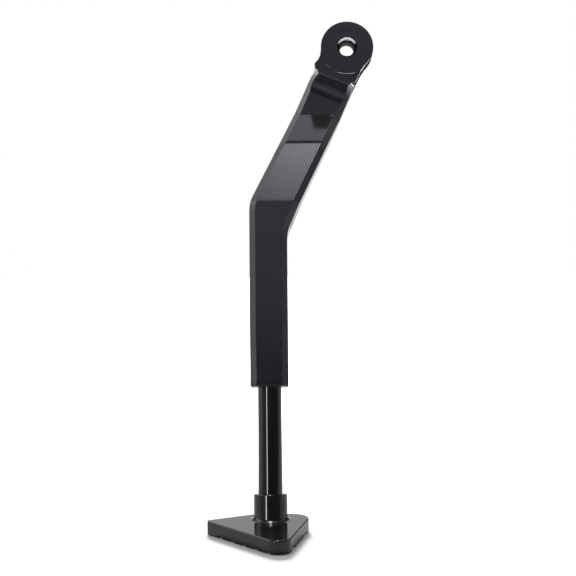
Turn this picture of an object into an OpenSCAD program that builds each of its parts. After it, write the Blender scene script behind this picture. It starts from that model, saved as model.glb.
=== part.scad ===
// Adjustable motorcycle side stand (kickstand): a machined two-piece leg,
// a telescoping rod and a three-cornered foot. Millimetres, +Z up, the sole
// is level, the origin is the centre of the pivot bush's bore.

/* [Pose] */
// How far the leg leans back from plumb when the sole is level, degrees
lean = 10.4; // [8:0.1:13]

/* [Lower leg] */
// Width of the straight lower leg
leg_w = 25.5; // [24.5:0.25:26.5]
// Depth of the straight lower leg, front to back
leg_d = 25; // [24:0.5:26]
// Height of the left-hand outline's bend above the leg's lower end
bend_left_z = 124.6; // [122:0.2:128]
// Height of the right-hand outline's bend above the leg's lower end
bend_right_z = 104.2; // [102:0.2:107]
// Sideways slope of the upper arm, degrees
arm_tilt = 23.75; // [22:0.25:25]
// Radius of the bends in the outline
bend_r = 28; // [20:1:34]

/* [Lean-back of the arm] */
// Height of the front crease where the arm starts to lean back
crease_z = 124.8; // [123:0.2:127]
// Angle of the leaning front face, degrees
arm_back = 25; // [23:0.5:27]
// Depth of the arm's upper flat, measured back from the rod axis
flat_y = 20.5; // [20:0.1:21]
// Depth of the arm's back face at the top
back_y = 33.5; // [33:0.25:34.5]

/* [Edges] */
// Width of the long chamfers, across the front face
chamfer_w = 4.15; // [3.75:0.1:4.55]
// Depth of the long chamfers, down the side
chamfer_d = 4.4; // [3.9:0.1:4.9]

/* [Eye] */
// Outside radius of the eye
eye_r = 19; // [18:0.25:20]
// Thickness of the eye
eye_t = 12.5; // [12:0.25:13]
// Radius of the bore in the eye
eye_bore_r = 7; // [6.8:0.1:7.6]
// How far the bush sits back from the eye's front face
bush_recess = 6; // [5:0.25:7]
// Radius of the bush's own bore, for a 10 mm pivot bolt
bush_bore_r = 5.15; // [5.05:0.05:5.3]

/* [Sliding rod] */
// Diameter of the rod
rod_dia = 15.88; // [15.5:0.02:16]
// Length of the rod inside the leg as shown
rod_inside = 60; // [50:1:62]
// Rod showing between the leg and the foot's collar
rod_showing = 70; // [66:1:76]
// Depth of the rod's bore in the leg
rod_bore_depth = 103; // [102:1:104]
// Radial play of the rod in its bore
rod_play = 0.05; // [0.03:0.01:0.08]

/* [Foot] */
// Thickness of the foot plate
foot_t = 9; // [8:0.25:10]
// Radius of the foot's collar
collar_r = 11; // [10.5:0.1:11.5]
// Height of the collar along the rod
collar_h = 16.2; // [15.5:0.1:17]
// Depth of the grip grooves in the sole
groove_h = 1.7; // [1:0.1:2]
// Width of the grip grooves
groove_w = 2.4; // [1.8:0.1:3]

/* [Hidden] */
$fn = 96;

hw = leg_w / 2;
hd = leg_d / 2;
tt = tan(arm_tilt);
tb = tan(arm_back);
eye_x = 57.55;
eye_z = 245.9;
eye_front = back_y - eye_t;
boss_r = 20.6;
bush_len = eye_t - bush_recess;
org = [eye_x, back_y - bush_len / 2, eye_z];

seam_y = 9.4;                                        // plane of the lap joint
lap_z = 131;                                         // shoulder at the lap's lower end
crease2_z = crease_z + (flat_y + hd) / tb;           // front face goes upright again
arm_t = 20.96;                                       // leaning section, front to back along Y
backA_z = crease_z + (hd - (-hd + arm_t)) / tb;      // back crease, lower
backB_z = crease_z + (back_y - (-hd + arm_t)) / tb;  // back crease, upper
function front_y(z) = z < crease_z ? -hd : z < crease2_z ? -hd + (z - crease_z) * tb : flat_y;
function back_at(z) = z < backA_z ? hd : z < backB_z ? -hd + arm_t + (z - crease_z) * tb : back_y;

// points of an arc that rounds the corner b between a and c
function unit(v) = v / norm(v);
function fillet(a, b, c, r, n = 7) =
    let (u = unit(a - b), w = unit(c - b),
         half = acos(u * w) / 2,
         t = r / tan(half),
         m = b + unit(u + w) * r / sin(half),
         p = b + u * t - m, q = b + w * t - m,
         a0 = atan2(p[1], p[0]), a1r = atan2(q[1], q[0]),
         d0 = a1r - a0,
         d = d0 > 180 ? d0 - 360 : d0 < -180 ? d0 + 360 : d0)
    [for (i = [0:n]) m + r * [cos(a0 + d * i / n), sin(a0 + d * i / n)]];

// outline of the whole leg seen from the front, X across and Z up; above the
// bend its sides run straight up the arm, at w_left and w_right across it
st = sin(arm_tilt);
ct = cos(arm_tilt);
function on_arm(s, w) = [s * st + w * ct, s * ct - w * st];
w_left = -hw * ct - bend_left_z * st;
w_right = hw * ct - bend_right_z * st;
s_eye = eye_x * st + eye_z * ct;
w_eye = eye_x * ct - eye_z * st;
s_join = s_eye - sqrt(pow(eye_r, 2) - pow(w_right - w_eye, 2));
outline = concat(
    [[-hw, 0]],
    fillet([-hw, 0], [-hw, bend_left_z], on_arm(221, w_left), bend_r),
    [on_arm(221, w_left), on_arm(223.8, w_left + 0.7), on_arm(225.6, w_left - 0.6),
     on_arm(227.6, w_left - 1.6), on_arm(230.5, w_left - 0.7), on_arm(233.2, w_left - 0.3),
     on_arm(235.5, w_left - 0.5), on_arm(s_eye, w_eye - eye_r + 1)],
    [on_arm(s_eye, w_eye + 12)],
    fillet(on_arm(s_eye, w_right + 8), on_arm(s_join, w_right), on_arm(s_join - 30, w_right), 6),
    fillet(on_arm(210, w_right), [hw, bend_right_z], [hw, 0], bend_r),
    [[hw, 0]]);

// profile of the whole leg seen from the side, Y across and Z up
profile = [[-hd, 0], [-hd, crease_z], [flat_y, crease2_z], [flat_y, 270],
           [back_y, 270], [back_y, backB_z], [hd, backA_z], [hd, 0]];

// hollow below the eye, cut square to the arm: depth Y against distance along the arm
neck_y = eye_front + 0.4;
scoop_s = [205.6, 223.2];
scoop = concat([[-60, scoop_s[0]]],
    [for (i = [0:12]) let (k = i / 12) [flat_y + (neck_y - flat_y) * k + 1.5 * (1 - pow(2 * k - 1, 2)), scoop_s[0] + (scoop_s[1] - scoop_s[0]) * k]],
    [[neck_y, 320], [-60, 320]]);

module along_y(y0, y1) { translate([0, y1, 0]) rotate([90, 0, 0]) linear_extrude(y1 - y0) children(); }
module along_x(x0, x1) { translate([x0, 0, 0]) rotate([90, 0, 90]) linear_extrude(x1 - x0) children(); }

// everything in front of a long chamfer: side is -1 or +1
chamfer_a = atan2(chamfer_d, chamfer_w);
module straight_chamfer(side) {
    translate([side * (hw - chamfer_w), -hd, -1])
        rotate([0, 0, side > 0 ? chamfer_a : 180 - chamfer_a])
        translate([-20, side > 0 ? -20 : 0, 0]) cube([60, 20, 127]);
}
// chamfer along the leaning or upper flat: origin on the outline at (x, y, z), tipped back by b
module arm_chamfer(x, y, z, side, b, len) {
    translate([x, y, z]) rotate([-b, 0, 0]) rotate([0, atan(tt * cos(b)), 0])
        translate([-side * chamfer_w, 0, 0])
        rotate([0, 0, side > 0 ? chamfer_a : 180 - chamfer_a])
        translate([-20, side > 0 ? -20 : 0, 0]) cube([60, 20, len]);
}
module chamfers() {
    intersection() {
        union() { straight_chamfer(-1); straight_chamfer(1); }
        translate([-60, -60, -2]) cube([120, 120, crease_z - 3 + 2]);
    }
    intersection() {
        union() {
            arm_chamfer(-hw + (crease_z - 40 - bend_left_z) * tt, -hd - 40 * tb, crease_z - 40, -1, arm_back, 140);
            arm_chamfer(hw + (crease_z - 40 - bend_right_z) * tt, -hd - 40 * tb, crease_z - 40, 1, arm_back, 140);
        }
        translate([-60, -60, crease_z - 3]) cube([200, 120, crease2_z - crease_z + 3]);
    }
    intersection() {
        union() {
            arm_chamfer(-hw + (crease2_z - 40 - bend_left_z) * tt, flat_y, crease2_z - 40, -1, 0, 140);
            arm_chamfer(hw + (crease2_z - 40 - bend_right_z) * tt, flat_y, crease2_z - 40, 1, 0, 140);
        }
        translate([-60, -60, crease2_z]) cube([200, 120, 60]);
        rotate([0, arm_tilt, 0]) translate([-140, -60, 0]) cube([200, 120, 223]);
    }
}
module billet() {
    difference() {
        union() {
            intersection() {
                along_y(-60, 60) polygon(outline);
                along_x(-40, 100) polygon(profile);
            }
            translate([eye_x, back_y, eye_z]) rotate([90, 0, 0]) cylinder(r = eye_r, h = eye_t);
        }
        chamfers();
        // hollow, leaving a round boss about the eye
        difference() {
            rotate([0, arm_tilt, 0]) along_x(-140, 60) polygon(scoop);
            translate([eye_x, 60, eye_z]) rotate([90, 0, 0]) cylinder(r = boss_r, h = 60 - eye_front);
        }
    }
}

// the leg's own frame is tipped back into the part's frame
module place() { rotate([-lean, 0, 0]) translate(-org) children(); }

// holes of the lap joint, all from the back
screw_p = [[7.3, 147], [21.3, 147]];   // x, z of the two screws
dowel_p = [[10, 137], [20, 159.5]];   // x, z of the two dowels
seat_y = seam_y + 3;                            // where the screw heads bear
module from_back(p, y) { translate([p[0], y, p[1]]) rotate([90, 0, 0]) children(); }

post_p = [27, 188];                             // spring post on the back of the arm

module upper_arm() color("dimgray") place() difference() {
    intersection() {
        billet();
        translate([-60, seam_y + 0.02, lap_z]) cube([200, 80, 200]);
    }
    // bore for the bush
    translate([eye_x, 60, eye_z]) rotate([90, 0, 0]) cylinder(r = eye_bore_r, h = 60);
    translate([eye_x, eye_front + 0.5, eye_z]) rotate([90, 0, 0]) cylinder(r1 = eye_bore_r, r2 = eye_bore_r + 1, h = 1);
    for (p = screw_p) {
        from_back(p, 60) cylinder(r = 3.3, h = 60);
        from_back(p, 60) cylinder(r = 5.4, h = 60 - seat_y);
    }
    for (p = dowel_p) from_back(p, seam_y + (p[1] > 150 ? 8 : 3)) cylinder(r = 2.51, h = 20);
    from_back(post_p, 60) cylinder(r = 3.02, h = 60 - 23);
}

module lower_leg() color("slategray") place() difference() {
    union() {
        intersection() {
            billet();
            translate([-60, -60, -1]) cube([200, 60 + seam_y, 201]);
        }
        intersection() {
            billet();
            translate([-60, -60, -1]) cube([200, 120, lap_z - 0.02 + 1]);
        }
    }
    // bore for the rod, with a groove for the wiper at its mouth
    translate([0, 0, -1]) cylinder(d = rod_dia + 2 * rod_play, h = rod_bore_depth + 1);
    translate([0, 0, 3]) cylinder(r = rod_dia / 2 + 1.9, h = 2.4);
    translate([0, 0, -0.01]) cylinder(r1 = rod_dia / 2 + 0.8, r2 = rod_dia / 2 + rod_play, h = 0.8);
    // chamfer round the lower end
    for (s = [-1, 1]) {
        translate([s * hw, 0, 0]) rotate([0, 45, 0]) cube([1.6, 60, 1.6], center = true);
        translate([0, s * hd, 0]) rotate([45, 0, 0]) cube([60, 1.6, 1.6], center = true);
    }
    for (p = screw_p) from_back(p, 60) cylinder(r = 3.02, h = 60 - seam_y + 8.4);
    for (p = dowel_p) from_back(p, 30) cylinder(r = 2.51, h = 30 - seam_y + (p[1] > 150 ? 3 : 6));
    for (z = [14, 32]) translate([0, hd + 1, z]) rotate([90, 0, 0]) cylinder(r = 3.02, h = hd);
}

// plain sleeve that stays with the pivot bolt
module pivot_bush() color("goldenrod") place()
    translate([eye_x, back_y, eye_z]) rotate([90, 0, 0]) difference() {
        cylinder(r = eye_bore_r - 0.05, h = bush_len);
        translate([0, 0, -1]) cylinder(r = bush_bore_r, h = bush_len + 2);
    }

// low-head socket screw, head at the back
module lap_screw(p, len) place() from_back(p, seat_y + 4) difference() {
    union() {
        cylinder(r = 5, h = 3.98);
        translate([0, 0, 3]) cylinder(r = 3, h = len + 1);
    }
    translate([0, 0, -1]) cylinder(r = 2.3, h = 3.4, $fn = 6);
}
module lap_screw_left() color("silver") lap_screw(screw_p[0], 10);
module lap_screw_right() color("silver") lap_screw(screw_p[1], 10);

module lap_dowel_lower() color("lightsteelblue") place() from_back(dowel_p[0], seam_y + 2.8) cylinder(r = 2.5, h = 8.4);
module lap_dowel_upper() color("lightsteelblue") place() from_back(dowel_p[1], seam_y + 7.8) cylinder(r = 2.5, h = 10.4);

// grooved post that the return spring hooks on
module spring_post() color("silver") place() translate([post_p[0], 0, post_p[1]]) rotate([-90, 0, 0]) rotate_extrude()
    polygon([[0, 23.5], [3, 23.5], [3, back_y + 0.02], [5, back_y + 0.02], [5, back_y + 2.5], [3.4, back_y + 3.6],
             [3.4, back_y + 7], [5, back_y + 8.2], [5, back_y + 9.6], [4.2, back_y + 10.4], [0, back_y + 10.4]]);

rod_len = rod_inside + rod_showing + collar_h - 2;
module slide_rod() color("gainsboro") place() difference() {
    translate([0, 0, rod_inside - rod_len]) union() {
        cylinder(d = rod_dia, h = rod_len - 1);
        translate([0, 0, rod_len - 1]) cylinder(d1 = rod_dia, d2 = rod_dia - 2, h = 1);
    }
    // flat for the clamp screws
    translate([-20, rod_dia / 2 - 1, -31]) cube([40, 20, 99]);
    // tapped hole for the foot bolt
    translate([0, 0, rod_inside - rod_len - 1]) cylinder(r = 4.02, h = 23);
    // blind hole for the foot pin
    translate([0, 20, -rod_showing - 7]) rotate([90, 0, 0]) cylinder(r = 2.01, h = 16.5);
}

module clamp_screw(z) place() translate([0, hd - 0.4, z]) rotate([90, 0, 0]) difference() {
    cylinder(r = 3, h = 4);
    translate([0, 0, -1]) cylinder(r = 1.7, h = 3.5, $fn = 6);
}
module clamp_screw_upper() color("silver") clamp_screw(32);
module clamp_screw_lower() color("silver") clamp_screw(14);
module clamp_tip(z) place() translate([0, hd - 4.42, z]) rotate([90, 0, 0]) cylinder(r = 2.6, h = hd - 4.42 - rod_dia / 2 + 1 - 0.02);
module clamp_tip_upper() color("gold") clamp_tip(32);
module clamp_tip_lower() color("gold") clamp_tip(14);

module rod_wiper() color("black") place() translate([0, 0, 4.2]) rotate_extrude()
    translate([rod_dia / 2 + 0.95, 0]) square([1.7, 2.2], center = true);

// the foot is cut in the part's own level frame; (0, 0) is where the rod axis meets its top
foot_pts = [[-43.4, -1.4], [-11.4, 13.9], [28.2, 14.2], [9.6, -60.6]];
foot_rad = [3, 8, 11.5, 8.5];
foot_outline = [for (i = [0:3]) each fillet(foot_pts[(i + 3) % 4], foot_pts[i], foot_pts[(i + 1) % 4], foot_rad[i], 10)];
foot_top = -rod_showing - collar_h;      // along the rod axis, from the leg's lower end
module at_foot() place() translate([0, 0, foot_top]) rotate([lean, 0, 0]) children();
module foot() color("dimgray") difference() {
    union() {
        at_foot() translate([0, 0, -foot_t]) linear_extrude(foot_t) polygon(foot_outline);
        intersection() {
            place() translate([0, 0, foot_top - 6]) cylinder(r = collar_r, h = collar_h + 6);
            at_foot() translate([-30, -30, -foot_t + 1]) cube([60, 60, 60]);
        }
    }
    // socket for the rod
    place() translate([0, 0, foot_top + 1.98]) cylinder(r = rod_dia / 2 + 0.02, h = 60);
    // bolt hole and head pocket
    place() translate([0, 0, foot_top - 30]) cylinder(r = 4.3, h = 40);
    place() translate([0, 0, foot_top - 30]) cylinder(r = 8.4, h = 29);
    // pin hole from the back
    place() translate([0, 30, -rod_showing - 7]) rotate([90, 0, 0]) cylinder(r = 2.01, h = 30);
    // grip grooves across the sole
    at_foot() for (i = [-5:3]) translate([i * 7.83 - 0.8, 0, -foot_t]) cube([groove_w, 160, 2 * groove_h], center = true);
}

module foot_bolt() color("silver") place() translate([0, 0, foot_top - 2.6]) difference() {
    union() {
        translate([0, 0, -3]) cylinder(r = 6.5, h = 3);
        translate([0, 0, -1]) cylinder(r = 4, h = 24);
    }
    translate([0, 0, -4]) cylinder(r = 2.9, h = 3.4, $fn = 6);
}
module foot_washer() color("gainsboro") place() translate([0, 0, foot_top - 2.58]) difference() {
    cylinder(r = 7.4, h = 1.56);
    translate([0, 0, -1]) cylinder(r = 4.2, h = 4);
}
module foot_pin() color("silver") place() translate([0, collar_r - 0.5, -rod_showing - 7]) rotate([90, 0, 0])
    difference() { cylinder(r = 2, h = 6.1); translate([0, 0, -1]) cylinder(r = 1.2, h = 9); }

upper_arm();
lower_leg();
pivot_bush();
lap_screw_left();
lap_screw_right();
lap_dowel_lower();
lap_dowel_upper();
spring_post();
slide_rod();
clamp_screw_upper();
clamp_screw_lower();
clamp_tip_upper();
clamp_tip_lower();
rod_wiper();
foot();
foot_bolt();
foot_washer();
foot_pin();
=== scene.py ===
import bpy, bmesh, math
from mathutils import Vector, Matrix


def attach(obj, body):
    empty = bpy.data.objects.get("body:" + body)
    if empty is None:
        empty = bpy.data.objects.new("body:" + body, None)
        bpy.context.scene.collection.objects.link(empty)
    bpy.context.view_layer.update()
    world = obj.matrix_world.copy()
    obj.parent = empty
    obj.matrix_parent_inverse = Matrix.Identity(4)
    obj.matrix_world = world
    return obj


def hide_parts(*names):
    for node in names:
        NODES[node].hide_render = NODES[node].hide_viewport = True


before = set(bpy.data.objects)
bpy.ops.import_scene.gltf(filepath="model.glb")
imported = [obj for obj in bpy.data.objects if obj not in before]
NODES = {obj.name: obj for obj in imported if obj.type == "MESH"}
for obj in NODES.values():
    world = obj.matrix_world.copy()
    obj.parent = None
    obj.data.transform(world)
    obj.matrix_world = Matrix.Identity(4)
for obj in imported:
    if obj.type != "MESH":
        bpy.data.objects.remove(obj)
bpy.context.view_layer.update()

rad = math.radians
LEAN = rad(10.4)
ORG = Vector((57.55, 30.25, 245.9))
CL, SL = math.cos(LEAN), math.sin(LEAN)


def W(x, y, z):
    """A point of the leg's own frame, in mm, to the row frame in metres."""
    x, y, z = x - ORG.x, y - ORG.y, z - ORG.z
    return Vector((x, y * CL + z * SL, -y * SL + z * CL)) / 1000


# ---------------------------------------------------------------- dimensions, as the CAD has them
HW, HD = 12.75, 12.5
T = rad(23.75)
TT, CT, ST = math.tan(T), math.cos(T), math.sin(T)
TB = math.tan(rad(25))
BLZ, BRZ = 124.6, 104.2
CREASE, FLAT, BACK = 124.8, 20.5, 33.5
CREASE2 = CREASE + (FLAT + HD) / TB
ARM_T = 20.96
BACK_A = CREASE + (HD - (-HD + ARM_T)) / TB
BACK_B = CREASE + (BACK - (-HD + ARM_T)) / TB
SEAM, LAP = 9.4, 131.0
CW, CD = 4.15, 4.4
EX, EZ, ER, ET = 57.55, 245.9, 19.0, 12.5
EF = BACK - ET
NECK = EF + 0.4          # the neck stands this far behind the eye's face
ROD_R = 7.94


def kink(z, z0, x0, s0, s1, t):
    """Two straight runs that meet at (z0, x0), blended over z0 - t to z0 + t."""
    if z <= z0 - t:
        return x0 + s0 * (z - z0)
    if z >= z0 + t:
        return x0 + s1 * (z - z0)
    return x0 + s0 * (z - z0) + (s1 - s0) * (z - z0 + t) ** 2 / (4 * t)


def x_left(z):
    return kink(z, BLZ, -HW, 0, TT, 28 * math.tan(T / 2))


def x_right(z):
    return kink(z, BRZ, HW, 0, TT, 28 * math.tan(T / 2))


def y_front(z):
    if z < (CREASE + CREASE2) / 2:
        return kink(z, CREASE, -HD, 0, TB, 0.7)
    return kink(z, CREASE2, FLAT, TB, 0, 0.5)


def y_back(z):
    if z < (BACK_A + BACK_B) / 2:
        return kink(z, BACK_A, HD, 0, TB, 3)
    return kink(z, BACK_B, BACK, TB, 0, 3)


def unit(v):
    return v / max((v.x * v.x + v.y * v.y) ** 0.5, 1e-9)


def corner(a, b, c, r, n=3):
    """n + 1 points of the arc that rounds corner b."""
    a, b, c = Vector(a), Vector(b), Vector(c)
    la, lc = (a - b).length, (c - b).length
    if la < 1e-6 or lc < 1e-6:
        return [b.copy() for _ in range(n + 1)]
    u, w = (a - b) / la, (c - b) / lc
    half = math.acos(max(-1, min(1, u.dot(w)))) / 2
    if half > rad(89.5) or half < 1e-4:
        return [b.copy() for _ in range(n + 1)]
    t = min(r / math.tan(half), 0.45 * la, 0.45 * lc)
    rr = t * math.tan(half)
    m = b + (u + w).normalized() * rr / math.sin(half)
    p, q = b + u * t - m, b + w * t - m
    a0, a1 = math.atan2(p.y, p.x), math.atan2(q.y, q.x)
    d = a1 - a0
    d = d - 2 * math.pi if d > math.pi else d + 2 * math.pi if d < -math.pi else d
    return [m + rr * Vector((math.cos(a0 + d * i / n), math.sin(a0 + d * i / n))) for i in range(n + 1)]


def link(name, bm, smooth=True, angle=40):
    bmesh.ops.remove_doubles(bm, verts=bm.verts, dist=1e-7)
    bmesh.ops.dissolve_degenerate(bm, dist=1e-7, edges=bm.edges)
    bmesh.ops.recalc_face_normals(bm, faces=bm.faces)
    me = bpy.data.meshes.new(name)
    bm.to_mesh(me)
    bm.free()
    ob = bpy.data.objects.new(name, me)
    bpy.context.scene.collection.objects.link(ob)
    if smooth:
        me.shade_smooth()
        me.set_sharp_from_angle(angle=rad(angle))
    return ob


def loft(bm, rings, cap0=False, cap1=False, closed=True):
    vs = [[bm.verts.new(p) for p in r] for r in rings]
    n = len(rings[0])
    for a, b in zip(vs, vs[1:]):
        for i in range(n if closed else n - 1):
            j = (i + 1) % n
            bm.faces.new((a[i], a[j], b[j], b[i]))
    if cap0:
        bm.faces.new(vs[0])
    if cap1:
        bm.faces.new(list(reversed(vs[-1])))
    return vs


def weighted(ob, w=80):
    m = ob.modifiers.new("weighted", "WEIGHTED_NORMAL")
    m.mode, m.weight, m.keep_sharp = "FACE_AREA", w, True
    return ob


# ---------------------------------------------------------------- lower leg
GAP = 0.2         # each side of the seam stands this far off its plane


def leg_ring(z, back, inset=0.0, edge=0.5, seam_edge=0.42):
    xl, xr, yf = x_left(z) + inset, x_right(z) - inset, y_front(z) + inset
    back = back - inset
    cw = CW + (CW / CT - CW) * min(1, max(0, (z - 112) / 14))
    cwl = CW + (CW / CT - CW) * min(1, max(0, (z - 118) / 10))
    k = min(1.0, max(0.0, (back - yf) / CD))
    xlc, xrc = xl + cwl * (1 - k), xr - cw * (1 - k)
    yc = min(yf + CD, back)
    be = edge if z < LAP else seam_edge
    P = [(xl + cwl, yf), (xr - cw, yf), (xrc, yc), (xrc, back), (xlc, back), (xlc, yc)]
    R = [edge, edge, edge, be, be, edge]
    out = []
    for i in range(6):
        out += [W(p.x, p.y, z) for p in corner(P[i - 1], P[i], P[(i + 1) % 6], R[i])]
    return out


def make_lower_leg():
    bm = bmesh.new()
    base = leg_ring(0, HD, 0.9)
    ax = W(0, 0, 0)

    def round_ring(r, z):
        out = []
        for i in range(len(base)):
            p = base[i]
            # angle about the rod axis, in the leg's frame
            x, y = p.x - ax.x, (p.y - ax.y) * CL - (p.z - ax.z) * SL
            a = math.atan2(y, x)
            out.append(W(r * math.cos(a), r * math.sin(a), z))
        return out

    rings = [round_ring(ROD_R + 0.06, 100), round_ring(ROD_R + 0.06, 0.9), round_ring(ROD_R + 0.85, 0.0),
             leg_ring(0, HD, 1.0), leg_ring(0.12, HD, 0.62), leg_ring(0.62, HD, 0.12), leg_ring(1.0, HD, 0)]
    z = 4.0
    zs = []
    while z < LAP - 0.6:
        zs.append(z)
        z += 4.0 if z < 98 else 0.8
    rings += [leg_ring(z, y_back(z)) for z in zs]
    rings += [leg_ring(LAP - 0.35, y_back(LAP)), leg_ring(LAP - 0.1, y_back(LAP) - 0.25)]
    rings += [leg_ring(LAP, SEAM - GAP)]
    tip = CREASE + (SEAM - GAP + HD - 0.30) / TB
    n = 34
    rings += [leg_ring(LAP + 0.2 + (tip - 0.5 - LAP - 0.2) * i / n, SEAM - GAP) for i in range(n + 1)]
    rings += [leg_ring(tip - 0.2, SEAM - GAP), leg_ring(tip, SEAM - GAP, 0.08)]
    loft(bm, rings, cap0=True, cap1=True)
    ob = link("lower_leg_billet", bm, angle=35)
    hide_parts("lower_leg")
    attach(ob, "stand")
    return ob


# ---------------------------------------------------------------- upper arm
W_L = -HW * CT - BLZ * ST
W_R = HW * CT - BRZ * ST
S_E, W_E = EX * ST + EZ * CT, EX * CT - EZ * ST
BOSS_R = 20.6


def sw(s, w):
    return s * ST + w * CT, s * CT - w * ST


def lerp_table(tab, s):
    if s <= tab[0][0]:
        return tab[0][1]
    for (s0, w0), (s1, w1) in zip(tab, tab[1:]):
        if s <= s1:
            k = (s - s0) / (s1 - s0)
            return w0 + (w1 - w0) * k
    return tab[-1][1]


LEFT = [(0, W_L), (218.5, W_L), (221.0, -61.35), (223.0, -60.95), (223.8, -60.85), (224.6, -61.1), (225.6, -62.0),
        (226.6, -62.75), (227.7, -63.15), (228.6, -62.95), (230.5, -62.2), (232.0, -61.9), (233.4, -61.85),
        (235.5, -62.05), (237.0, -62.5), (238.4, -62.9), (240.6, -63.3)]
RIGHT = [(0, W_R), (217, W_R), (224.6, -30.42), (229.5, -30.2), (232, -30.1), (234.5, -29.95), (237.1, -29.55),
         (239.9, -28.95), (240.6, -28.85)]


# slope of the front below the eye against distance along the arm, in degrees; + goes back as it goes up
TILTS = [(205.6, 0), (206.2, 13), (209.1, 13), (213.3, 4.2), (214.6, 0), (216.0, -9), (221.3, -9),
         (221.6, 10), (221.9, 30), (222.6, 30), (223.0, 8), (223.5, 0)]


def _depths():
    tab, y, n = [], FLAT, 400
    s0, s1 = TILTS[0][0], TILTS[-1][0]
    for i in range(n + 1):
        s = s0 + (s1 - s0) * i / n
        tab.append((s, y))
        for (a, ta), (b, tb) in zip(TILTS, TILTS[1:]):
            if a <= s <= b:
                y += math.tan(rad(ta + (tb - ta) * (s - a) / (b - a))) * (s1 - s0) / n
                break
    # what is left over goes on evenly, so that it ends at the neck
    return [(s, y1 + (NECK - y) * (s - s0) / (s1 - s0)) for s, y1 in tab]


DEPTHS = _depths()


def hollow(s):
    """Depth of the front below the eye: a shallow hollow with a step onto the neck."""
    if s <= DEPTHS[0][0]:
        return FLAT
    if s >= DEPTHS[-1][0]:
        return DEPTHS[-1][1]
    i = (s - DEPTHS[0][0]) / (DEPTHS[-1][0] - DEPTHS[0][0]) * (len(DEPTHS) - 1)
    k = min(int(i), len(DEPTHS) - 2)
    return DEPTHS[k][1] + (DEPTHS[k + 1][1] - DEPTHS[k][1]) * (i - k)


def arm_front(x, z):
    return max(y_front(z), hollow(x * ST + z * CT)) if z > CREASE2 + 2 else y_front(z)


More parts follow.
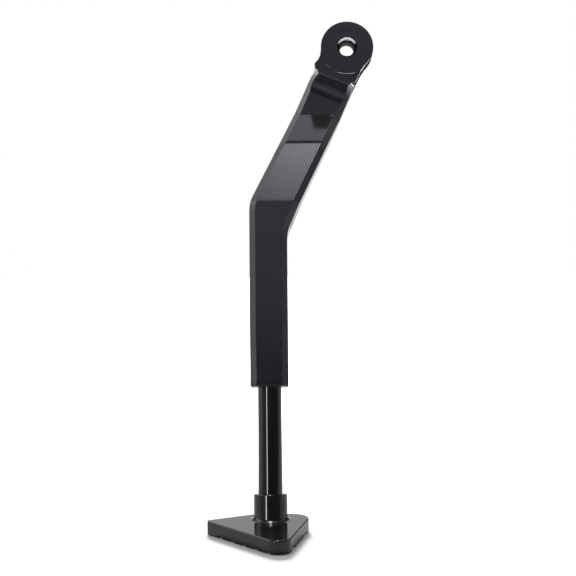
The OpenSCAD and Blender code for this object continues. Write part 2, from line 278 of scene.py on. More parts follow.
def make_upper_arm():
    bm = bmesh.new()
    # stations: centre distance along the arm and tilt of the slice
    s_lap = LAP * CT + ((x_left(LAP) + x_right(LAP)) / 2) * ST
    st = []
    mid = (W_L + W_R) / 2

    def tilt(s):
        k = min(1, max(0, (s - 150) / 42))
        return T * (k * k * (3 - 2 * k))

    s = s_lap
    while s < 240.6:
        st.append(s)
        if s < 162:
            s += 1.2
        elif s < 203:
            s += 0.8
        else:
            s += 0.35
    st += [240.6] + [c for c, _ in TILTS]
    st = sorted(st)
    rings = []
    NC = 26
    for k, s in enumerate(st):
        tau = tilt(s)
        if s < 195:
            wl, wr = W_L, W_R
        else:
            wl, wr = lerp_table(LEFT, s), lerp_table(RIGHT, s)
        cx, cz = sw(s, mid)
        dx, dz = math.cos(tau), -math.sin(tau)
        stretch = 1 / math.cos(T - tau)
        ql, qr = (wl - mid) * stretch, (wr - mid) * stretch
        inset = 0.0
        if k == 0:
            inset = 0.25

        def at(q, y):
            return W(cx + q * dx, y, cz + q * dz)

        def front(q):
            x, z = cx + q * dx, cz + q * dz
            if s < 195:
                return y_front(z)
            return arm_front(x, z)

        cw = CW * stretch

        def fade(s1):
            """The chamfer runs out where the round cutter stopped, at s1."""
            if s < s1 - 4.0:
                return 1.0
            return max(0.09, (1 - min(1, (s - s1 + 4.0) / 4.0) ** 2) ** 0.5)

        ml, mr = fade(224.0), fade(225.6)
        cl, cr, dl, dr = cw * ml, cw * mr, CD * ml, CD * mr
        yl, yr = front(ql + cl), front(qr - cr)
        # the chamfers are cut from the flat's level, so the hollow narrows them a little
        if s > 195:
            cl *= 1 - min(0.9, (yl - FLAT) / CD) * (1 if ml > 0.5 else 0)
            cr *= 1 - min(0.9, (yr - FLAT) / CD) * (1 if mr > 0.5 else 0)
            zl, zr = FLAT + CD * ml, FLAT + CD * mr
            zl, zr = max(zl, yl + 0.45), max(zr, yr + 0.45)
        else:
            zl, zr = yl + dl, yr + dr
        lim = SEAM + GAP
        kl = min(1, max(0, (lim - yl) / dl))
        kr = min(1, max(0, (lim - yr) / dr))
        fl = (ql + cl * (1 - kl), max(yl, lim))
        fr = (qr - cr * (1 - kr), max(yr, lim))
        rc = (qr, max(zr, lim + 0.02))
        lc = (ql, max(zl, lim + 0.02))
        yb = y_back(cz) - 0.03 - inset
        yb = y_back(cz - 0.0) - 0.03 - inset
        P = [fl, fr, rc, (qr, yb), (ql, yb), lc]
        R = [0.4, 0.4, 0.45, 0.6, 0.6, 0.45]
        if s > 224:
            R[1] = R[2] = 0.8
        if s < 195 and yl < lim:
            R = [0.42, 0.42, 0.42, 0.6, 0.6, 0.42]
        ring = []
        for i in range(6):
            pts = corner(P[i - 1], P[i], P[(i + 1) % 6], R[i])
            ring += [at(p.x, p.y) for p in pts]
            if i == 0:
                q0, q1 = pts[-1].x, fr[0] - (pts[-1].x - fl[0])
                for c in range(1, NC):
                    q = q0 + (q1 - q0) * c / NC
                    ring.append(at(q, max(front(q), lim)))
        rings.append(ring)
    loft(bm, rings, cap0=True, cap1=True)

    # the eye: a disc with a boss, bored
    N = 144
    rings = []
    for i in range(N):
        a = 2 * math.pi * i / N
        ds, dw = math.cos(a), math.sin(a)   # a = 0 points up the arm
        # outline distance in this direction
        r_out = ER - 0.015
        r = ER
        while r < BOSS_R:
            r += 0.02
            s, w = S_E + r * ds, W_E + r * dw
            if s > 240 or w < lerp_table(LEFT, s) + 0.3 or w > lerp_table(RIGHT, s) - 0.3:
                break
            r_out = r
        ring = []

        def pt(r, y):
            x, z = sw(S_E + r * ds, W_E + r * dw)
            return W(x, y, z)
        b = 0.5
        prof = [(7.0, EF + 0.45), (7.45, EF)]
        prof += [(10.15, EF), (10.3, EF + 0.05), (10.5, EF + 0.05), (10.65, EF)]
        prof += [(r_out - b + b * math.sin(rad(t)), EF + b - b * math.cos(rad(t))) for t in (0, 22.5, 45, 67.5, 90)]
        prof += [(r_out - b + b * math.cos(rad(t)), BACK - b + b * math.sin(rad(t))) for t in (0, 22.5, 45, 67.5, 90)]
        prof += [(7.45, BACK), (7.0, BACK - 0.45)]
        rings.append([pt(r, y) for r, y in prof])
    vs = [[bm.verts.new(p) for p in r] for r in rings]
    m = len(rings[0])
    for i in range(N):
        a, b = vs[i], vs[(i + 1) % N]
        for j in range(m):
            k = (j + 1) % m
            bm.faces.new((a[j], b[j], b[k], a[k]))
    ob = link("upper_arm_billet", bm, angle=35)
    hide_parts("upper_arm")
    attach(ob, "stand")
    return ob


# ---------------------------------------------------------------- foot
FOOT_T = 9.0
FT = -86.2
FOOT = [(-43.4, -1.4), (-11.4, 13.9), (28.2, 14.2), (9.6, -60.6)]
FOOT_R = [3, 8, 11.5, 8.5]
F0 = W(0, 0, FT) * 1000


def FP(x, y, z):
    """A point of the level foot frame: (0, 0, 0) is where the rod axis meets the foot's top."""
    return Vector((F0.x + x, F0.y + y, F0.z + z)) / 1000


def foot_outline(inset):
    n = len(FOOT)
    P = [Vector(p) for p in FOOT]
    # move each side inwards
    sides = []
    for i in range(n):
        a, b = P[i], P[(i + 1) % n]
        d = (b - a).normalized()
        nrm = Vector((d.y, -d.x))      # inwards for this clockwise order
        sides.append((a + nrm * inset, d))
    Q = []
    for i in range(n):
        (p, d), (q, e) = sides[i - 1], sides[i]
        t = ((q - p).x * e.y - (q - p).y * e.x) / (d.x * e.y - d.y * e.x)
        Q.append(p + d * t)
    out = []
    for i in range(n):
        out += corner(Q[i - 1], Q[i], Q[(i + 1) % n], max(0.5, FOOT_R[i] - inset), 12)
    return out


def make_foot():
    bm = bmesh.new()
    b = 0.9
    prof = [(b * (1 - math.sin(rad(t))), -b * (1 - math.cos(rad(t)))) for t in (0, 30, 60, 90)]   # inset, z
    rings = []
    for inset, z in prof:
        rings.append([FP(p.x, p.y, z) for p in foot_outline(inset)])
    for inset, z in [(0, -FOOT_T + 0.4), (0.12, -FOOT_T + 0.12), (0.4, -FOOT_T)]:
        rings.append([FP(p.x, p.y, z) for p in foot_outline(inset)])
    loft(bm, rings, cap0=True, cap1=True)
    plate = link("foot_plate", bm, angle=35)

    # grip grooves and the bolt's pocket are cut from the sole
    cb = bmesh.new()
    for i in range(-4, 4):
        x = i * 7.83 - 0.8
        sec = [(-1.35, -3), (-1.2, -0.25), (-1.2, 0.9), (-0.75, 1.7), (0.75, 1.7), (1.2, 0.9), (1.2, -0.25), (1.35, -3)]
        fr_ = -1.4 - 1.117 * (x + 43.4) if x < 9.6 else -60.6 + 4.02 * (x - 9.6)
        bk_ = -1.4 + 0.478 * (x + 43.4) if x < -11.4 else 14
        for ya, yb_ in (((-80, fr_ + 5), (bk_ - 4, 40)) if fr_ + 7 < bk_ - 4 else ((-80, 40),)):
            rings = []
            for y in (ya, yb_):
                rings.append([FP(x + px, y, -FOOT_T + pz) for px, pz in sec])
            loft(cb, rings, cap0=True, cap1=True)
    cutter = link("cutter", cb, smooth=False)
    m = plate.modifiers.new("b", "BOOLEAN")
    m.operation, m.object, m.solver = "DIFFERENCE", cutter, "EXACT"
    pb = bmesh.new()
    rings = []
    for y, r in ((FT - 30, 8.4), (FT - 1, 8.4), (FT - 1, 4.3), (FT + 1, 4.3)):
        rings.append([W(r * math.cos(2 * math.pi * k / 64), r * math.sin(2 * math.pi * k / 64), y) for k in range(64)])
    loft(pb, rings, cap0=True, cap1=True)
    pocket = link("pocket", pb, smooth=False)
    m = plate.modifiers.new("p", "BOOLEAN")
    m.operation, m.object, m.solver = "DIFFERENCE", pocket, "EXACT"
    dg = bpy.context.evaluated_depsgraph_get()
    me = bpy.data.meshes.new_from_object(plate.evaluated_get(dg))
    bpy.data.objects.remove(cutter)
    bpy.data.objects.remove(pocket)
    plate.modifiers.clear()
    bm = bmesh.new()
    bm.from_mesh(me)
    bpy.data.objects.remove(plate)

    # collar: turned, standing along the rod, with a small fillet onto the plate
    N = 128
    rings = []
    cr, ch = 11.0, 16.2
    for k in range(N):
        a = 2 * math.pi * k / N
        ca, sa = math.cos(a), math.sin(a)
        # the collar's wall meets the plate's level top in a fillet
        fr = 3.2 - 1.2 * max(0, sa)
        fil = []
        for t in (0, 12, 24, 36, 48, 60, 72, 84, 90):
            r = cr + fr * (1 - math.cos(rad(t)))
            fil.append((r, r * sa * SL / CL + 0.75 * fr * (1 - math.sin(rad(t))) + 0.01))
        prof = [(ROD_R + 0.05, ch - 4), (ROD_R + 0.05, ch - 0.5), (ROD_R + 0.5, ch), (cr - 0.7, ch),
                (cr - 0.45, ch - 0.07), (cr - 0.2, ch - 0.22), (cr - 0.05, ch - 0.45), (cr, ch - 0.75),
                *fil, (fil[-1][0], fil[-1][1] - 1.2)]
        ring = [W(r * ca, r * sa, FT + z) for r, z in prof]
        rings.append(ring)
    vs = [[bm.verts.new(p) for p in r] for r in rings]
    for k in range(N):
        a, b2 = vs[k], vs[(k + 1) % N]
        for j in range(len(rings[0]) - 1):
            bm.faces.new((a[j], a[j + 1], b2[j + 1], b2[j]))
    ob = link("foot_billet", bm, angle=35)
    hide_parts("foot")
    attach(ob, "rod")
    return ob


def to_leg(v):
    """A direction of the row frame, in the leg's frame."""
    return Vector((v.x, v.y * CL - v.z * SL, v.y * SL + v.z * CL))


def split(ob, name, keep):
    """Move the faces that keep() picks into a second object of the same piece."""
    bm = bmesh.new()
    bm.from_mesh(ob.data)
    bmesh.ops.delete(bm, geom=[f for f in bm.faces if not keep(f)], context="FACES")
    other = link(name, bm, angle=35)
    bm = bmesh.new()
    bm.from_mesh(ob.data)
    bmesh.ops.delete(bm, geom=[f for f in bm.faces if keep(f)], context="FACES")
    bm.to_mesh(ob.data)
    bm.free()
    ob.data.set_sharp_from_angle(angle=rad(35))
    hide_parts("upper_arm")
    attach(other, "stand")
    return other


def in_eye(f):
    c = to_leg(f.calc_center_median() * 1000) + ORG
    return c.x * ST + c.z * CT > 224.2


def bored(ob, screws, r, deep=None):
    """Holes from the back, where CAD puts these screws."""
    cb = bmesh.new()
    for name in screws:
        o = bpy.data.objects[name]
        pts = [to_leg((o.matrix_world @ v.co) * 1000) + ORG for v in o.data.vertices]
        lo = [min(p[i] for p in pts) for i in range(3)]
        hi = [max(p[i] for p in pts) for i in range(3)]
        x, z = (lo[0] + hi[0]) / 2, (lo[2] + hi[2]) / 2
        y0 = hi[1] - deep if deep else lo[1]
        rings = [[W(x + r * math.sin(2 * math.pi * k / 48), y, z + r * math.cos(2 * math.pi * k / 48)) for k in range(48)]
                 for y in (y0, hi[1] + 30)]
        loft(cb, rings, cap0=True, cap1=True)
    bmesh.ops.recalc_face_normals(cb, faces=cb.faces)
    cutter = link("cutter", cb, smooth=False)
    m = ob.modifiers.new("holes", "BOOLEAN")
    m.operation, m.object, m.solver = "DIFFERENCE", cutter, "EXACT"
    me = bpy.data.meshes.new_from_object(ob.evaluated_get(bpy.context.evaluated_depsgraph_get()))
    ob.modifiers.clear()
    ob.data = me
    bpy.data.objects.remove(cutter)
    return ob


lower = weighted(bored(make_lower_leg(), ("clamp_screw_lower", "clamp_screw_upper"), 3.02))
upper = make_upper_arm()
eye = weighted(split(upper, "upper_arm_eye", in_eye))
upper = weighted(bored(upper, ("lap_screw_left", "lap_screw_right"), 5.4, 4.0))
foot = weighted(make_foot())

# ---------------------------------------------------------------- materials
class Tree:
    """A small helper that builds one material's nodes."""

    def __init__(self, name, metallic=0.0, ior=1.5, aniso=0.0):
        self.m = bpy.data.materials.new(name)
        self.m.use_nodes = True
        self.nt = self.m.node_tree
        self.b = self.nt.nodes["Principled BSDF"]
        self.b.inputs["Metallic"].default_value = metallic
        self.b.inputs["IOR"].default_value = ior
        self.b.inputs["Anisotropic"].default_value = aniso
        self.co = self.nt.nodes.new("ShaderNodeTexCoord").outputs["Object"]

    def link(self, a, b):
        self.nt.links.new(a, b)

    def math(self, op, a, b=None, c=None):
        n = self.nt.nodes.new("ShaderNodeMath")
        n.operation = op
        for i, v in enumerate((a, b, c)):
            if v is None:
                continue
            if isinstance(v, (int, float)):
                n.inputs[i].default_value = v
            else:
                self.link(v, n.inputs[i])
        return n.outputs[0]

    def dot(self, v):
        n = self.nt.nodes.new("ShaderNodeVectorMath")
        n.operation = "DOT_PRODUCT"
        self.link(self.co, n.inputs[0])
        n.inputs[1].default_value = v
        return n.outputs["Value"]

    def stretched(self, sx, sy, sz):
        """Coordinates along the leg's own axes, scaled."""
        n = self.nt.nodes.new("ShaderNodeCombineXYZ")
        for i, v in enumerate((leg_axis(sx, 0, 0), leg_axis(0, sy, 0), leg_axis(0, 0, sz))):
            self.link(self.dot(v), n.inputs[i])
        return n.outputs[0]

    def noise(self, scale, detail=3.0, rough=0.55, vec=None, dist=0.0):
        n = self.nt.nodes.new("ShaderNodeTexNoise")
        n.inputs["Scale"].default_value = scale
        n.inputs["Detail"].default_value = detail
        n.inputs["Roughness"].default_value = rough
        n.inputs["Distortion"].default_value = dist
        self.link(vec or self.co, n.inputs["Vector"])
        return n.outputs[0]

    def remap(self, v, a, b, c, d):
        n = self.nt.nodes.new("ShaderNodeMapRange")
        n.clamp = True
        self.link(v, n.inputs["Value"])
        for k, x in zip(("From Min", "From Max", "To Min", "To Max"), (a, b, c, d)):
            n.inputs[k].default_value = x
        return n.outputs[0]

    def color(self, fac, stops):
        n = self.nt.nodes.new("ShaderNodeValToRGB")
        e = n.color_ramp.elements
        e[0].position, e[0].color = stops[0][0], (*stops[0][1], 1)
        e[1].position, e[1].color = stops[-1][0], (*stops[-1][1], 1)
        for p, c in stops[1:-1]:
            x = e.new(p)
            x.color = (*c, 1)
        self.link(fac, n.inputs[0])
        self.link(n.outputs[0], self.b.inputs["Base Color"])

    def rough(self, v):
        if isinstance(v, (int, float)):
            self.b.inputs["Roughness"].default_value = v
        else:
            self.link(v, self.b.inputs["Roughness"])

    def bump(self, h, strength, dist):
        n = self.nt.nodes.new("ShaderNodeBump")
        n.inputs["Strength"].default_value = strength
        n.inputs["Distance"].default_value = dist
        self.link(h, n.inputs["Height"])
        self.link(n.outputs[0], self.b.inputs["Normal"])


def leg_axis(x, y, z):
    """A direction of the leg's frame, in the row frame."""
    return (x, y * CL + z * SL, -y * SL + z * CL)


def anodised(name, rows_and_sheen=None, pitch=1.83, lo=0.10, hi=0.16, tone=1.0, matt=0.0, blue=1.0, sheen_grade=(0, 1), lift=0.25):
    """Black anodised aluminium: near-black, glossy, with the faint lay of the cutter and a few rubbed places. Where
    rows are given, the cutter's rows also carry a painted sheen that gets lighter towards the top right.
    """
    t = Tree(name)
    clouds = t.noise(55, 4, 0.6)
    fine = t.noise(1, 3, 0.6, t.stretched(2600, 2600, 260))
    spots = t.noise(420, 2, 0.7)
    v = t.math("ADD", t.math("MULTIPLY", clouds, 0.7), t.math("MULTIPLY", fine, 0.3))
    r = t.math("ADD", t.remap(v, 0.3, 0.7, lo, hi), t.remap(spots, 0.66, 0.78, 0, 0.06))
    height = t.math("MULTIPLY", fine, 1.0)
    if rows_and_sheen:
        # rows left by the cutter, running up the arm; their light and dark tones are a painted sheen
        across = t.dot(leg_axis(CT, 0, -ST))
        wob = t.noise(1, 2, 0.5, t.stretched(60, 60, 160))
        ph = t.math("ADD", t.math("MULTIPLY", across, 2000 * math.pi / pitch), t.math("MULTIPLY", wob, 1.2))
        w01 = t.math("MULTIPLY_ADD", t.math("SINE", ph), 0.5, 0.5)
        k = t.math("ADD", t.math("MULTIPLY_ADD", w01, 0.42, 0.3), t.math("MULTIPLY", clouds, 0.3))
        d0, d1 = rows_and_sheen
        # painted sheen: the rows grow lighter towards the top right
        g = t.math("ADD", t.dot((0.35, 0, 0.94)), t.math("MULTIPLY_ADD", clouds, 0.006, -0.003))
        k = t.math("MULTIPLY", k, t.remap(g, sheen_grade[0], sheen_grade[1], 0.25, 1.0))
        t.color(k, [(0.05, (d0 * 0.98, d0, d0 * 1.04)), (0.9, (d1 * 0.98, d1, d1 * 1.04))])
        r = t.math("ADD", r, t.math("MULTIPLY", w01, 0.05 if lift > 0.1 else 0.0))
        t.rough(r)
        if lift:
            t.bump(t.math("MULTIPLY_ADD", w01, 0.9, t.math("MULTIPLY", fine, 0.1)), lift, 0.00003)
    else:
        bl = blue
        t.color(v, [(0.25, (0.0070 * tone, 0.0073 * tone, (0.0075 + 0.003 * bl) * tone)),
                    (0.5, (0.0088 * tone, 0.0092 * tone, (0.0095 + 0.004 * bl) * tone)),
                    (0.8, (0.0122 * tone, 0.0126 * tone, (0.0130 + 0.005 * bl) * tone))])
        t.rough(t.math("ADD", r, matt) if matt else r)
        if lift:
            t.bump(height, 0.012, 0.00002)
    return t.m


def metal(name, dark, mid, light, lo, hi, rings=None, metallic=1.0, aniso=0.0, bump=0.2, ior=1.5):
    """Turned or drawn metal: tone and roughness vary, with fine turning lines where asked."""
    t = Tree(name, metallic=metallic, aniso=aniso, ior=ior)
    clouds = t.noise(160, 4, 0.6)
    fine = t.noise(1, 3, 0.6, t.stretched(*(rings or (1500, 1500, 1500))))
    v = t.math("ADD", t.math("MULTIPLY", clouds, 0.6), t.math("MULTIPLY", fine, 0.4))
    t.color(v, [(0.25, dark), (0.5, mid), (0.8, light)])
    t.rough(t.remap(v, 0.3, 0.7, lo, hi))
    t.bump(fine, bump, 0.00003)
    return t.m


# ends of the painted sheen's gradient, which gets lighter towards the top right
SHEEN_G0 = (W(-4, 0, 124) * 1).dot(Vector((0.35, 0, 0.94)))
SHEEN_G1 = (W(32, 0, 167) * 1).dot(Vector((0.35, 0, 0.94)))
anod = anodised("black_anodised_mat")
# lighter copies of the anodising for the faces that lean back and face up: painted sheen
anod_rows_painted_sheen = anodised("black_anodised_rows_painted_sheen", rows_and_sheen=(0.022, 0.25), lo=0.17, hi=0.21, sheen_grade=(SHEEN_G0, SHEEN_G1))
anod_soft_rows_painted_sheen = anodised("black_anodised_soft_rows_painted_sheen", rows_and_sheen=(0.008, 0.026), lo=0.06, hi=0.09, lift=0, sheen_grade=(SHEEN_G1, SHEEN_G1 + 0.012))
# a darker matt copy of the anodising: matt on the bore's chamfer, and painted shade on the walls right of the neck and
# eye
anod_matt_and_shade = anodised("black_anodised_matt_and_painted_shade", lo=0.6, hi=0.75, tone=0.7, matt=0.05)
anod_matt_and_shade.node_tree.nodes["Principled BSDF"].inputs["Specular IOR Level"].default_value = 0.05
anod_foot = anodised("black_anodised_foot", lo=0.09, hi=0.15, tone=0.85, blue=0.0)
anod_edge = anodised("black_anodised_edge", lo=0.10, hi=0.14, lift=0)
bt = Tree("bore_wall_painted_highlight_mat", metallic=0.0, ior=1.2)
# painted highlight: the top of the bore's wall is painted near white, the rest near black
bore_highlight_mask = bt.math("MULTIPLY", bt.remap(bt.dot((0, 0, 1)), 0.0038, 0.0056, 0.0, 1.0), bt.math("MULTIPLY_ADD", bt.noise(160, 4, 0.6), 0.3, 0.85))
bt.color(bore_highlight_mask, [(0.0, (0.006, 0.006, 0.0065)), (0.95, (0.80, 0.80, 0.81))])
bt.rough(0.6)
bore_painted_highlight = bt.m
bore_painted_highlight.node_tree.nodes["Principled BSDF"].inputs["Specular IOR Level"].default_value = 0.0


def run_out_painted_highlight(name, lip, reach, top):
    """The end of a chamfer below the eye, with a painted highlight that grows towards where the cutter left it."""
    t = Tree(name)
    clouds = t.noise(160, 4, 0.6)
    axis = Vector(leg_axis(ST, 0, CT))
    end = W(*lip).dot(axis)
    f = t.remap(t.dot(tuple(axis)), end - reach, end, 0.0, 1.0)
    f = t.math("MULTIPLY", t.math("MULTIPLY", f, f), t.math("MULTIPLY_ADD", clouds, 0.3, 0.85))
    t.color(f, [(0.0, (0.0088, 0.0092, 0.0135)), (0.95, (top, top, top))])
    t.rough(t.remap(clouds, 0.3, 0.7, 0.10, 0.16))
    return t.m


lip_l_painted_highlight = run_out_painted_highlight("black_anodised_run_out_left_painted_highlight", (34.8, 22.2, 228), 0.0095, 0.30)
lip_r_painted_highlight = run_out_painted_highlight("black_anodised_run_out_right_painted_highlight", (60.5, 22.2, 217), 0.0110, 0.22)
rodm = metal("black_rod_mat", (0.0035, 0.0036, 0.0040), (0.0050, 0.0052, 0.0056), (0.0075, 0.0078, 0.0082), 0.07, 0.11,
             (1500, 1500, 9000), metallic=0.0, bump=0.06)
dark = metal("black_oxide_mat", (0.012, 0.012, 0.013), (0.022, 0.022, 0.024), (0.045, 0.045, 0.048), 0.28, 0.42, metallic=0.6)
bushm = metal("bush_mat", (0.004, 0.004, 0.0045), (0.007, 0.007, 0.0075), (0.014, 0.014, 0.015), 0.48, 0.62,
              (250, 900, 250), metallic=0.0, bump=0.02, ior=1.3)
plain = metal("plain_steel_mat", (0.38, 0.38, 0.39), (0.50, 0.50, 0.51), (0.62, 0.62, 0.63), 0.22, 0.36, (7000, 600, 7000))
brass = metal("brass_mat", (0.50, 0.34, 0.14), (0.66, 0.47, 0.20), (0.78, 0.58, 0.28), 0.22, 0.36, (7000, 600, 7000))
rt = Tree("rubber_mat")
rv = rt.noise(1400, 4, 0.7)
rt.color(rv, [(0.3, (0.010, 0.010, 0.010)), (0.7, (0.022, 0.022, 0.022))])
rt.rough(rt.remap(rv, 0.3, 0.7, 0.6, 0.8))
rt.bump(rv, 0.4, 0.00006)
rubber = rt.m


def put(ob, *mats):
    ob.data.materials.clear()
    for m in mats:
        ob.data.materials.append(m)


def leg_point(p):
    return to_leg(p * 1000) + ORG


put(lower, anod, anod_rows_painted_sheen)
for p in lower.data.polygons:
    n = to_leg(p.normal)
    c = leg_point(p.center)
    # faces that lean back and face up take the rows with the painted sheen
    if n.y < -0.8 and n.z > 0.3 and c.z > CREASE - 1.5 and abs(n.x) < 0.2:
        p.material_index = 1
put(upper, anod, anod_soft_rows_painted_sheen, bore_painted_highlight, anod_matt_and_shade)
put(eye, anod, anod_soft_rows_painted_sheen, bore_painted_highlight, anod_matt_and_shade, anod_edge)
for p in list(upper.data.polygons) + list(eye.data.polygons):
    n = to_leg(p.normal)
    c = leg_point(p.center)
    s_, w_ = c.x * ST + c.z * CT, c.x * CT - c.z * ST
    re = math.hypot(c.x - EX, c.z - EZ)
    # the bore's wall takes the painted highlight
    if re < 7.15 and abs(n.y) < 0.3:
        p.material_index = 2
    # the bore's chamfer takes the darker matt copy
    elif re < 7.6 and abs(n.y) < 0.95:
        p.material_index = 3
    elif s_ > 224.2 and 0.3 <= abs(n.y) < 0.985:
        p.material_index = 4
    # faces that lean back and face up take the rows with the painted sheen
    elif n.y < -0.8 and n.z > 0.3 and c.z < CREASE2 + 1 and abs(n.x) < 0.2:
        p.material_index = 1
    # the walls right of the neck and eye take the darker matt copy as painted shade
    elif 221 < s_ < 256 and w_ > -36 and abs(n.y) < 0.3:
        p.material_index = 3
# the chamfers' run-outs below the eye take the painted highlight
for ob in (upper, eye):
    base = len(ob.data.materials)
    ob.data.materials.append(lip_l_painted_highlight)
    ob.data.materials.append(lip_r_painted_highlight)
    for p in ob.data.polygons:
        n = to_leg(p.normal)
        side = n.x * CT - n.z * ST
        if p.material_index == 0 and n.y < -0.3 and abs(side) > 0.35:
            p.material_index = base + (side > 0)
put(foot, anod_foot)
put(NODES["slide_rod"], rodm)
for n in ("lap_screw_left", "lap_screw_right", "spring_post", "clamp_screw_upper", "clamp_screw_lower", "foot_bolt"):
    put(NODES[n], dark)
put(NODES["pivot_bush"], bushm)
for n in ("lap_dowel_lower", "lap_dowel_upper", "foot_washer", "foot_pin"):
    put(NODES[n], plain)
for n in ("clamp_tip_upper", "clamp_tip_lower"):
    put(NODES[n], brass)
put(NODES["rod_wiper"], rubber)

# the small turned parts get the broken edges that real ones have
for n, ob in NODES.items():
    if n in ("upper_arm", "lower_leg", "foot"):
        continue
    ob.data.shade_smooth()
    ob.data.set_sharp_from_angle(angle=rad(30))
    m = ob.modifiers.new("edges", "BEVEL")
    m.width, m.segments, m.limit_method, m.angle_limit = 0.00018, 2, "ANGLE", rad(35)
    m.use_clamp_overlap = True
    m.harden_normals = False
    weighted(ob)

# ---------------------------------------------------------------- camera
cam_data = bpy.data.cameras.new("camera")
cam = bpy.data.objects.new("camera", cam_data)
bpy.context.scene.collection.objects.link(cam)
bpy.context.scene.camera = cam
cam_data.sensor_width = 36
cam_data.lens = 1050 / 576 * 36
cam_data.clip_start, cam_data.clip_end = 0.05, 50
P, RHO = rad(2.2), rad(-0.62)
Fw = Vector((0, math.cos(P), -math.sin(P)))
U0 = Vector((0, math.sin(P), math.cos(P)))
R0 = Vector((1, 0, 0))
Rt = R0 * math.cos(RHO) + U0 * math.sin(RHO)
Up = U0 * math.cos(RHO) - R0 * math.sin(RHO)
M = Matrix((Rt, Up, -Fw)).transposed().to_4x4()
M.translation = W(12.99, -704.688, -34.475)
cam.matrix_world = M

# ---------------------------------------------------------------- stage and light
sole = F0.z / 1000 - FOOT_T / 1000
bm = bmesh.new()
bmesh.ops.create_grid(bm, x_segments=1, y_segments=1, size=6)
floor = link("floor", bm, smooth=False)
floor.location = (0, 0, sole - 0.0002)
ft = Tree("floor_mat")
ft.color(ft.noise(3, 2), [(0.0, (0.90, 0.90, 0.90)), (1.0, (0.93, 0.93, 0.93))])
# painted shade: the floor's colour is dimmer where the glossy metal mirrors it, more so away from the foot
geo = ft.nt.nodes.new("ShaderNodeNewGeometry")
dist = ft.nt.nodes.new("ShaderNodeVectorMath")
dist.operation = "DISTANCE"
ft.link(geo.outputs["Position"], dist.inputs[0])
dist.inputs[1].default_value = FP(0, -10, -FOOT_T)
glo = ft.nt.nodes.new("ShaderNodeLightPath").outputs["Is Glossy Ray"]
dim = ft.math("MULTIPLY", glo, ft.remap(dist.outputs["Value"], 0.05, 0.28, 0.38, 0.70))
shade = ft.nt.nodes.new("ShaderNodeMix")
shade.data_type = "RGBA"
old = ft.b.inputs["Base Color"].links[0].from_socket
ft.link(dim, shade.inputs[0])
ft.link(old, shade.inputs[6])
shade.inputs[7].default_value = (0, 0, 0, 1)
ft.link(shade.outputs[2], ft.b.inputs["Base Color"])
ft.rough(0.9)
ft.b.inputs["Emission Color"].default_value = (1, 1, 1, 1)
# painted light: the floor glows, faintly by the foot and strongly away from it
glow = ft.math("MULTIPLY", ft.remap(dist.outputs["Value"], 0.13, 0.40, 0.02, 1.25), ft.math("SUBTRACT", 1.0, dim))
ft.link(glow, ft.b.inputs["Emission Strength"])
put(floor, ft.m)

# a plain white studio: white all round, darker towards the camera, and a wide soft light overhead
world = bpy.data.worlds.new("world")
bpy.context.scene.world = world
world.use_nodes = True
nt = world.node_tree
N = nt.nodes
bg = N["Background"]


def wmath(op, a, b=0.0, c=0.0):
    n = N.new("ShaderNodeMath")
    n.operation = op
    for i, v in enumerate((a, b, c)):
        if isinstance(v, (int, float)):
            n.inputs[i].default_value = v
        else:
            nt.links.new(v, n.inputs[i])
    return n.outputs[0]


def wramp(fac, stops, top):
    """Value of a piecewise-linear table, up to top."""
    n = N.new("ShaderNodeValToRGB")
    e = n.color_ramp.elements
    e[0].position, e[0].color = stops[0][0], (stops[0][1] / top,) * 3 + (1,)
    e[1].position, e[1].color = stops[-1][0], (stops[-1][1] / top,) * 3 + (1,)
    for p, c in stops[1:-1]:
        x = e.new(p)
        x.color = (c / top,) * 3 + (1,)
    nt.links.new(fac, n.inputs[0])
    return wmath("MULTIPLY", n.outputs[0], top)


sep = N.new("ShaderNodeSeparateXYZ")
nt.links.new(N.new("ShaderNodeTexCoord").outputs["Generated"], sep.inputs[0])
dx, dy, dz = sep.outputs
az = wmath("MULTIPLY_ADD", wmath("ARCTAN2", dx, dy), 0.5 / math.pi, 0.5)      # 0.5 is straight behind the object
up = wmath("MAXIMUM", dz, 0.0)
A = lambda d: 0.5 + d / 360
left = wramp(az, [(A(-180), 0), (A(-108), 0), (A(-97), 1.25), (A(-66), 1.25), (A(-57), 0), (A(180), 0)], 4)
sides = wramp(az, [(A(-180), 0.28), (A(-108), 0.30), (A(-97), 0), (A(-66), 0), (A(-57), 0.26), (A(-26), 0.26), (A(-15), 1.0),
                   (A(13), 1.0), (A(22), 0.12), (A(60), 0.12), (A(66), 0.70), (A(78), 0.70), (A(84), 0.40), (A(92), 0.36), (A(100), 0.10), (A(150), 0.08), (A(180), 0.08)], 4)
front = wramp(up, [(0.0, 0.05), (0.156, 0.06), (0.223, 0.13), (0.259, 0.19), (0.297, 0.42), (0.334, 0.52), (0.371, 0.62), (0.43, 0.50), (0.51, 0.36),
                   (0.60, 0.88), (0.65, 0.82), (0.743, 0.10), (0.85, 0.20), (0.92, 0.5), (0.948, 0.8), (0.970, 1.85), (0.98, 1.55), (1.0, 1.4)], 4)
mask = wramp(az, [(A(-180), 1), (A(-166), 1), (A(-158), 0), (A(158), 0), (A(166), 1), (A(180), 1)], 1)
high = wramp(up, [(0.0, 0), (0.76, 0), (0.90, 1), (1.0, 1)], 1)
rise = wramp(up, [(0.0, 1.0), (0.12, 1.0), (0.22, 0.84), (0.5, 1.1), (1.0, 1.3)], 4)
rise_l = wramp(up, [(0.0, 0.88), (0.15, 0.95), (0.30, 1.35), (0.45, 1.75), (1.0, 1.8)], 4)
arm_l = wramp(az, [(A(-180), 0), (A(-66), 0), (A(-58), 1), (A(-34), 1), (A(-24), 0), (A(180), 0)], 1)
arm_u = wramp(up, [(0.0, 0), (0.50, 0), (0.58, 0.5), (0.635, 0.68), (0.70, 0.95), (0.76, 1.1), (0.85, 0.6), (0.92, 0)], 4)
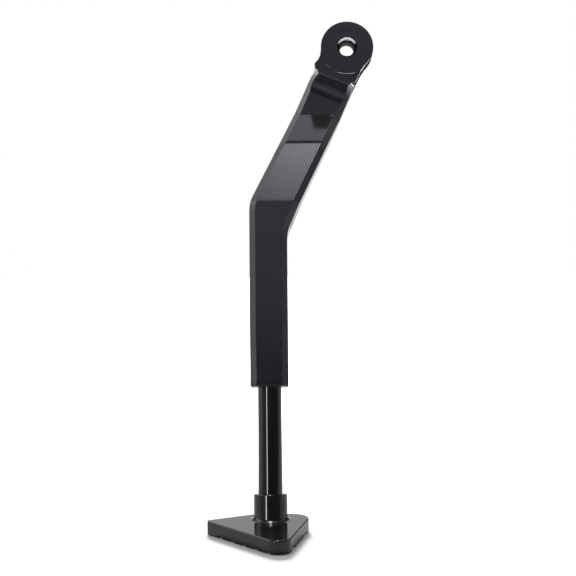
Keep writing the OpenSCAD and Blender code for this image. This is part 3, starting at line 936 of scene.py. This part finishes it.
side = wmath("ADD", wmath("MULTIPLY", sides, rise), wmath("ADD", wmath("MULTIPLY", left, rise_l), wmath("MULTIPLY", arm_l, arm_u)))
flat = wmath("ADD", wmath("MULTIPLY", front, mask), wmath("MULTIPLY", side, wmath("SUBTRACT", 1.0, mask)))
over = wmath("ADD", wmath("MULTIPLY", flat, wmath("SUBTRACT", 1.0, high)), wmath("MULTIPLY", front, high))
lp = N.new("ShaderNodeLightPath")
seen, soft = lp.outputs["Is Camera Ray"], lp.outputs["Is Diffuse Ray"]
val = wmath("ADD", wmath("MULTIPLY", over, wmath("SUBTRACT", 1.0, soft)), wmath("MULTIPLY", soft, 0.42))
val = wmath("ADD", wmath("MULTIPLY", val, wmath("SUBTRACT", 1.0, seen)), seen)
nt.links.new(val, bg.inputs["Strength"])
tint = N.new("ShaderNodeMix")
tint.data_type = "RGBA"
tint.inputs[6].default_value = (1, 1, 1, 1)
tint.inputs[7].default_value = (0.96, 0.98, 1.09, 1)
nt.links.new(wmath("MULTIPLY", mask, wmath("SUBTRACT", 1.0, seen)), tint.inputs[0])
nt.links.new(tint.outputs[2], bg.inputs["Color"])


def strip_light(name, where, at, w, h, radiance):
    d = bpy.data.lights.new(name, "AREA")
    d.shape, d.size, d.size_y = "RECTANGLE", w, h
    d.energy = radiance * w * h * math.pi
    o = bpy.data.objects.new(name, d)
    bpy.context.scene.collection.objects.link(o)
    o.location = where
    o.rotation_euler = (Vector(at) - Vector(where)).to_track_quat("-Z", "Y").to_euler()
    o.visible_diffuse = False
    o.visible_camera = False
    return o


def through(px, py):
    """Direction from the camera through a pixel of the 576 x 576 frame."""
    return (Fw * 1050 + Rt * (px - 288) - Up * (py - 288)).normalized()


# a dark card overhead, seen only as a reflection in the upper leaning face
face_n = (W(0, -math.cos(rad(25)), math.sin(rad(25))) - W(0, 0, 0)).normalized()
face_p = W(0, -HD, CREASE)
quad = []
for px, py in ((309.5, 110.5), (336.0, 110.5), (328.5, 129.0), (314.0, 129.0)):
    d = through(px, py)
    o = M.translation
    hit = o + d * ((face_p - o).dot(face_n) / d.dot(face_n))
    r = d - 2 * d.dot(face_n) * face_n
    quad.append(hit + r * 0.11)
bm = bmesh.new()
bm.faces.new([bm.verts.new(q) for q in quad])
card = link("dark_card", bm, smooth=False)
card.visible_camera = card.visible_diffuse = card.visible_shadow = False
ct = Tree("card_mat")
ct.color(ct.noise(30), [(0.0, (0.004, 0.004, 0.004)), (1.0, (0.006, 0.006, 0.006))])
ct.rough(1.0)
put(card, ct.m)

# soft light from behind and above, which puts the foot's soft shadow on the floor
fd = bpy.data.lights.new("floor_light", "AREA")
fd.shape, fd.size = "DISK", 0.55
foot_mid = Vector((F0.x, F0.y, F0.z)) / 1000
fl_dir = Vector((-0.08, 0.78, 0.62)).normalized()
fd.energy = 27
fo = bpy.data.objects.new("floor_light", fd)
bpy.context.scene.collection.objects.link(fo)
fo.location = foot_mid + fl_dir * 1.4
fo.rotation_euler = (-fl_dir).to_track_quat("-Z", "Y").to_euler()
fo.visible_glossy = False
fo.visible_camera = False
blockers = bpy.data.collections.new("floor_shadow")
blockers.objects.link(foot)
fo.light_linking.blocker_collection = blockers

def glint(name, p, n, dist, w, h, radiance, receivers, row=False):
    """A small soft light placed where a surface at p with normal n mirrors it to the camera."""
    p = p if row else W(*p)
    n = Vector(n).normalized() if row else Vector(leg_axis(*Vector(n).normalized()))
    d = (p - M.translation).normalized()
    r = d - 2 * d.dot(n) * n
    o = strip_light(name, p + r * dist, p, w, h, radiance)
    c = bpy.data.collections.new(name)
    for ob in receivers:
        c.objects.link(ob)
    o.light_linking.receiver_collection = c
    return o


glint("neck_edge", (67, 21.4, 230), (0.55, -0.69, -0.47), 0.35, 0.20, 0.20, 34, [eye])
glint("boss_arc", (EX - 1.2, 21.2, EZ - 20), (-0.04, -0.8, -0.6), 0.25, 0.22, 0.10, 28, [eye])
glint("lip_right", (60.5, 22.2, 217), (0.44, -0.66, -0.61), 0.45, 0.10, 0.10, 18, [upper, eye])
glint("lip_left", (34.8, 22.2, 228), (-0.64, -0.55, -0.54), 0.45, 0.15, 0.15, 16, [upper, eye])
glint("collar_front", FP(0, -12.8, 0.8), (0, -0.66, 0.75), 0.12, 0.022, 0.022, 60, [foot], row=True)

rod_mid = W(0, 0, -35)
strip_light("tall_strip", rod_mid + Vector((-0.485, -0.87, 0.10)) * 1.3, rod_mid, 0.10, 0.5, 22)
bpy.context.scene.view_settings.view_transform = "Standard"
